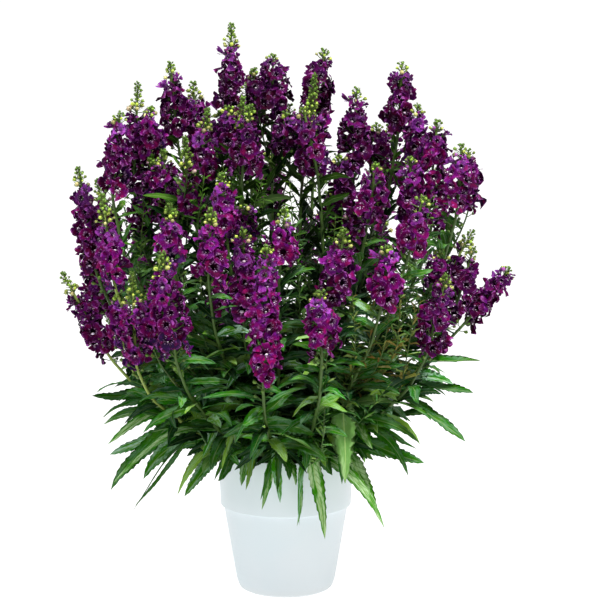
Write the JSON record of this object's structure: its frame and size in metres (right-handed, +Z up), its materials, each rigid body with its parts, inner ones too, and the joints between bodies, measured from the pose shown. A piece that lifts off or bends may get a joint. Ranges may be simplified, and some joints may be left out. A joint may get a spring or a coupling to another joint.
{
  "type": "potted angelonia",
  "caption": "Bushy angelonia with upright spikes of dark purple florets, growing in a plain pale round pot with a tall collar.",
  "frame": {"origin": "middle of the pot's flat underside", "axes": "+Z up along the pot's axis, -Y towards the side that the picture shows, +X to its right"},
  "size_m": [0.4888, 0.4658, 0.628],
  "materials": {
    "pot": "smooth pale white plastic with a faint blue cast",
    "soil": "dark crumbly potting soil, peat and bark",
    "foliage": "living green stems and leaves, satin",
    "florets": "velvety dark purple petals"
  },
  "bodies": {
    "root": {"pot": "pot", "soil": "soil", "stems_left": "foliage", "stems_front_left": "foliage", "stems_inner_left": "foliage", "stems_front": "foliage", "stems_front_right": "foliage", "stems_right_front": "foliage", "stems_right": "foliage", "stems_top_right": "foliage", "stems_top_left": "foliage", "stems_back_right": "foliage", "stems_back_left": "foliage", "raceme_01": "florets", "raceme_02": "florets", "raceme_03": "florets", "raceme_04": "florets", "raceme_05": "florets", "raceme_06": "florets", "raceme_07": "florets", "raceme_08": "florets", "raceme_09": "florets", "raceme_10": "florets", "raceme_11": "florets", "raceme_12": "florets", "raceme_13": "florets", "raceme_14": "florets", "raceme_15": "florets", "raceme_16": "florets", "raceme_17": "florets", "raceme_18": "florets", "raceme_19": "florets", "raceme_20": "florets", "raceme_21": "florets", "raceme_22": "florets", "raceme_23": "florets", "raceme_24": "florets", "raceme_25": "florets", "raceme_26": "florets", "raceme_27": "florets", "raceme_28": "florets", "raceme_29": "florets", "raceme_30": "florets", "raceme_31": "florets", "raceme_32": "florets", "raceme_33": "florets", "raceme_34": "florets", "raceme_35": "florets", "raceme_36": "florets", "raceme_37": "florets", "raceme_38": "florets", "raceme_39": "florets", "raceme_40": "florets", "raceme_41": "florets", "raceme_42": "florets", "raceme_43": "florets", "raceme_44": "florets", "raceme_45": "florets", "raceme_46": "florets", "raceme_47": "florets"}
  },
  "joints": []
}
